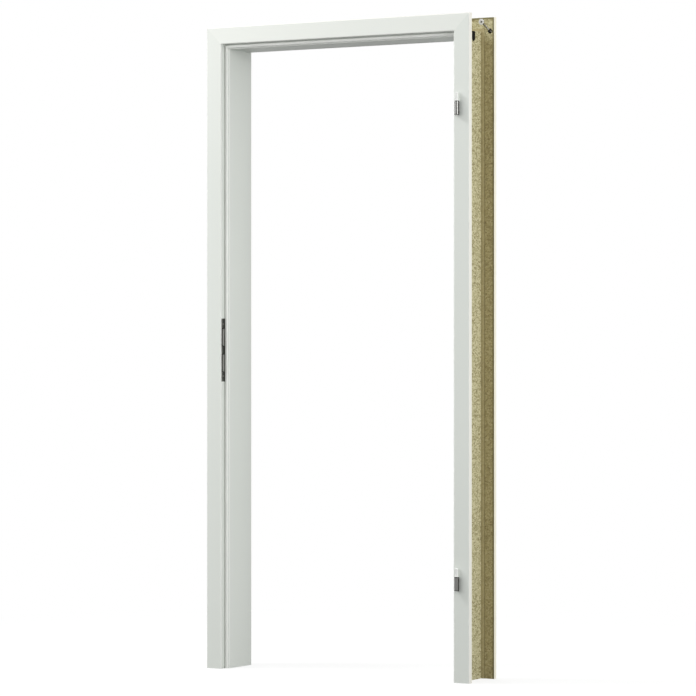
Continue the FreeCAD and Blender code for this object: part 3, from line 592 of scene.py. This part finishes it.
def strike_finish():
    """Dark satin plate whose lugs' front faces carry painted light, a dull light grey where they
    face the lamps.
    """
    graph = material_graph("strike_steel")
    marks, tone = metal_marks(graph, *STRIKE_TONES, BRUSHED, FINE_MARKS)
    # Painted light on the lugs' front-facing faces
    lit_lug_faces = graph.every(graph.below(graph.axes(graph.normal)[1], -FACING),
                         graph.above(graph.axes(graph.place)[1], plate[0].y + LUG_START))
    graph.bump(marks, *FINE_RELIEF)
    return graph.finish(base_color=graph.blend(lit_lug_faces, tone, LUG_PAINTED_LIGHT),
                        metallic=graph.maths("SUBTRACT", 1.0, lit_lug_faces),
                        roughness=graph.spread(marks, *STRIKE_ROUGHNESS))


def knuckle_finish(level):
    """Drawn steel with painted shade, for dark reflections and contact shade, at its ends and on
    the side towards the wall.
    """
    graph = material_graph(f"knuckle_steel_{level}")
    marks = graph.noise(MARKS, place=graph.stretched(DRAWN))
    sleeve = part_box(f"hinge_sleeve_{level}")
    low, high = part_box(f"hinge_knuckle_{level}")
    pin_depth = (sleeve[0].y + sleeve[1].y) / 2
    radius = pin_depth - low.y
    depth, height = graph.axes(graph.place)[1:]
    shade_from, shade_to = (pin_depth - share * radius for share in KNUCKLE_SHADE_SPAN)
    # Painted shade towards the wall and at the ends
    knuckle_shade = graph.some(
        graph.within(depth, shade_from, shade_to, 0.0, 1.0),
        graph.within(height, low.z + KNUCKLE_EDGE, low.z + KNUCKLE_FADE, KNUCKLE_END_SHARE, 0.0),
        graph.within(height, high.z - KNUCKLE_FADE, high.z - KNUCKLE_EDGE, 0.0, KNUCKLE_END_SHARE),
    )
    graph.bump(marks, *FINE_RELIEF)
    return graph.finish(base_color=graph.blend(knuckle_shade, KNUCKLE_GREY, KNUCKLE_PAINTED_SHADE), metallic=1.0,
                        roughness=graph.spread(marks, *KNUCKLE_ROUGHNESS))


def plastic_finish(name, colour, shade, rough, gloss=PLASTIC_GLOSS):
    graph = material_graph(name)
    fine = graph.noise(PLASTIC_GRAIN, detail=2)
    slow = graph.noise(PLASTIC_DRIFT, detail=2)
    graph.bump(fine, *FINE_RELIEF)
    return graph.finish(base_color=graph.blend(slow, colour, shade),
                        roughness=graph.spread(fine, *around(rough, PLASTIC_SPREAD)),
                        specular_ior_level=gloss)


def dress_fittings():
    """Dress the seals and fittings, and give back the turned steel, which the drawbolts share."""
    seal = seal_finish()
    for place in PLACES:
        dress(f"seal_{place}", seal)
    steel = metal_finish("nickel_steel", *NICKEL_STEEL, DRAWN)
    turned = metal_finish("turned_steel", *TURNED_STEEL, TURNED)
    screws = metal_finish("screw_steel", *SCREW_STEEL)
    # Near-black nut steel, painted shade for the recesses
    dark = metal_finish("nut_steel_painted_shade", *NUT_STEEL_PAINTED_SHADE)
    zinc = metal_finish("cast_zinc", *CAST_ZINC, scale=FINE_MARKS, relief=CAST_RELIEF)
    white = plastic_finish("white_plastic", *WHITE_PLASTIC)
    black = plastic_finish("black_plastic", *BLACK_PLASTIC, gloss=BRACKET_GLOSS)
    for level in LEVELS:
        dress(f"hinge_knuckle_{level}", knuckle_finish(level))
        dress(f"hinge_pin_{level}", turned)
        dress(f"hinge_sleeve_{level}", white)
        dress(f"hinge_receiver_{level}", steel)
        dress(f"hinge_clamp_screws_{level}", screws)
        dress(f"hinge_wood_screws_{level}", screws)
    dress("strike_plate", strike_finish())
    dress("strike_screws", screws)
    for side in SIDES:
        dress(f"corner_bracket_{side}", black)
        for row in ROWS:
            dress(f"mitre_cam_{row}_{side}", zinc)
            dress(f"mitre_nut_{row}_{side}", dark)
    return turned


# Drawbolts with a cut thread
BOLT_HEAD_RADIUS = 2.9 * MM
BOLT_HEAD_LENGTH = 1.8 * MM
BOLT_NECK_RADIUS = 2.0 * MM
BOLT_NECK_LENGTH = 3.8 * MM
BOLT_EDGE = 0.25 * MM
THREAD_RADIUS = 2.98 * MM
THREAD_DEPTH = 0.55 * MM
THREAD_PITCH = 1.0 * MM
THREAD_STEPS = 6
THREAD_RUNOUT = 1.5 * MM
THREAD_END_DEPTH = 0.4
AROUND = 32


def thread_radius(along, angle, length):
    """Radius of the thread's flank at a place, running out towards both ends."""
    phase = (along / THREAD_PITCH - angle / math.tau) % 1
    height = 1 - abs(2 * phase - 1)
    taper = min(1, max(0, along) / THREAD_RUNOUT, max(0, length - along) / THREAD_RUNOUT)
    return THREAD_RADIUS - THREAD_DEPTH * (1 - height * taper) * min(1, THREAD_END_DEPTH + taper)


def bolt_rings(length):
    """Rings from head to tip: each a distance along the bolt and a radius for every angle."""
    head_end = BOLT_HEAD_LENGTH
    neck_end = BOLT_HEAD_LENGTH + BOLT_NECK_LENGTH
    plain = [(0, BOLT_HEAD_RADIUS - BOLT_EDGE), (BOLT_EDGE, BOLT_HEAD_RADIUS),
             (head_end - BOLT_EDGE, BOLT_HEAD_RADIUS), (head_end, BOLT_HEAD_RADIUS - BOLT_EDGE),
             (head_end, BOLT_NECK_RADIUS), (neck_end, BOLT_NECK_RADIUS)]
    rings = [(along, [radius] * AROUND) for along, radius in plain]
    threaded = length - neck_end
    steps = round(threaded / THREAD_PITCH * THREAD_STEPS)
    for step in range(steps + 1):
        along = threaded * step / steps
        rings.append((neck_end + along, [thread_radius(along, math.tau * turn / AROUND, threaded)
                                         for turn in range(AROUND)]))
    return rings


def revolve(name, rings, start, axis):
    """A closed mesh through rings about an axis, with a fan at each end."""
    axis = axis.normalized()
    aside = Vector((0, 1, 0))
    upward = axis.cross(aside)
    points = []
    faces = []
    for along, radii in rings:
        for turn, radius in enumerate(radii):
            angle = math.tau * turn / AROUND
            outward = aside * math.cos(angle) + upward * math.sin(angle)
            points.append(start + axis * along + outward * radius)
    for ring in range(len(rings) - 1):
        for turn in range(AROUND):
            following = (turn + 1) % AROUND
            low = ring * AROUND
            high = low + AROUND
            faces.append((low + turn, low + following, high + following, high + turn))
    first = len(points)
    points.append(start + axis * rings[0][0])
    points.append(start + axis * rings[-1][0])
    last_ring = (len(rings) - 1) * AROUND
    for turn in range(AROUND):
        following = (turn + 1) % AROUND
        faces.append((first, following, turn))
        faces.append((first + 1, last_ring + turn, last_ring + following))
    mesh = bpy.data.meshes.new(name)
    mesh.from_pydata(points, [], faces)
    mesh.validate()
    piece = bpy.data.objects.new(name, mesh)
    bpy.context.scene.collection.objects.link(piece)
    return piece


def add_drawbolts(material):
    """Replace each packed drawbolt by a threaded one of its length, pointing down and out."""
    pivots = {joint["name"]: Vector(joint["pos_m"])
              for joint in frame["joints"] if "pos_m" in joint}
    for row, body in ROWS.items():
        for side, sign in SIDES.items():
            node = f"mitre_bolt_{row}_{side}"
            axis = Vector((sign, 0, -1)).normalized()
            low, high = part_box(node)
            centre = pivots[f"cam_turn_{row}_{side}"]
            centre.y = (low.y + high.y) / 2
            reaches = [(vertex.co - centre).dot(axis) for vertex in nodes[node].data.vertices]
            start = centre + axis * min(reaches)
            rings = bolt_rings(max(reaches) - min(reaches))
            bolt = revolve(f"drawbolt_{row}_{side}", rings, start, axis)
            bolt.data.materials.append(material)
            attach(bolt, body)
            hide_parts(node)


# Studio. Each lamp has its place, the point that it is aimed at, the width of its disc and its
# watts
LAMPS = {
    "key": ((-3.0, -1.6, 4.4), (-1.6, -0.5, 0.3), 1.2, 116),
    "fill": ((3.9, -1.2, 1.75), (0, 0, 1.1), 2.0, 71),
    "front": ((-2.3, -3.1, 1.95), (0, 0, 1.2), 2.0, 30.5),
    "back": ((-3.6, 4.4, 2.8), (0, 0.1, 1.1), 2.4, 64),
}
AMBIENT = (0.750, 0.762, 0.750)
BACKDROP = (1, 1, 1)
FLOOR_SIZE = 60
FLOOR_SEEN = (0.95, 0.95, 0.95)
FLOOR_BOUNCE = (0.10, 0.10, 0.098)
FLOOR_GLOW = 0.80
FADE_START = 0.6
FADE_END = 2.4


def seen_directly(graph):
    """1 where the eye, or a mirror or glass before it, looks at the surface."""
    rays = graph.nodes.new("ShaderNodeLightPath").outputs
    return graph.some(rays["Is Camera Ray"], rays["Is Glossy Ray"], rays["Is Transmission Ray"])


def add_floor():
    """White floor that keeps a soft shadow near the frame and fades into the white backdrop."""
    bpy.ops.mesh.primitive_plane_add(size=FLOOR_SIZE, location=(0, 0, 0))
    floor = bpy.context.object
    floor.name = "floor"
    graph = material_graph("floor")
    graph.nodes.remove(graph.shader)
    seen = seen_directly(graph)
    diffuse = graph.nodes.new("ShaderNodeBsdfDiffuse")
    graph.feed(diffuse.inputs["Color"], graph.blend(seen, FLOOR_BOUNCE, FLOOR_SEEN))
    white = graph.nodes.new("ShaderNodeEmission")
    away = graph.nodes.new("ShaderNodeVectorMath")
    away.operation = "LENGTH"
    graph.links.new(graph.place, away.inputs[0])
    fade = graph.within(away.outputs["Value"], FADE_START, FADE_END, FLOOR_GLOW, 1)
    factor = graph.every(fade, seen)
    mix = graph.nodes.new("ShaderNodeMixShader")
    graph.links.new(factor, mix.inputs["Fac"])
    graph.links.new(diffuse.outputs[0], mix.inputs[1])
    graph.links.new(white.outputs[0], mix.inputs[2])
    graph.links.new(mix.outputs[0], graph.nodes["Material Output"].inputs["Surface"])
    floor.data.materials.append(graph.owner)


def light_world():
    """White backdrop that lights the frame with a dimmer grey."""
    graph = Graph(bpy.data.worlds.new("studio"))
    bpy.context.scene.world = graph.finish(
        color=graph.blend(seen_directly(graph), AMBIENT, BACKDROP))


def add_lamp(name, place, aim, size, watts):
    lamp = bpy.data.lights.new(name, "AREA")
    lamp.shape = "DISK"
    lamp.size = size
    lamp.energy = watts
    holder = bpy.data.objects.new(name, lamp)
    holder.location = place
    holder.rotation_euler = (Vector(aim) - Vector(place)).to_track_quat("-Z", "Y").to_euler()
    bpy.context.scene.collection.objects.link(holder)


# Camera
IMAGE_WIDTH = 696
CAMERA_AZIMUTH = math.radians(30.5)
CAMERA_DISTANCE = 10.0
CAMERA_FOCAL_PIXELS = 3195
SENSOR = 36


def add_camera():
    """Level camera ahead and to the right, at half the frame's height."""
    centre = (cad_box[0] + cad_box[1]) / 2
    aim = Vector((0, 0, centre.z))
    toward = Vector((math.sin(CAMERA_AZIMUTH), -math.cos(CAMERA_AZIMUTH), 0))
    camera = bpy.data.cameras.new("camera")
    camera.sensor_width = SENSOR
    camera.lens = CAMERA_FOCAL_PIXELS * SENSOR / IMAGE_WIDTH
    holder = bpy.data.objects.new("camera", camera)
    holder.location = aim + toward * CAMERA_DISTANCE
    holder.rotation_euler = (-toward).to_track_quat("-Z", "Y").to_euler()
    bpy.context.scene.collection.objects.link(holder)
    bpy.context.scene.camera = holder


dress_boards()
bolt_steel = dress_fittings()
add_drawbolts(bolt_steel)
add_floor()
light_world()
for lamp_name, lamp_setup in LAMPS.items():
    add_lamp(lamp_name, *lamp_setup)
add_camera()
bpy.context.scene.view_settings.view_transform = "Standard"
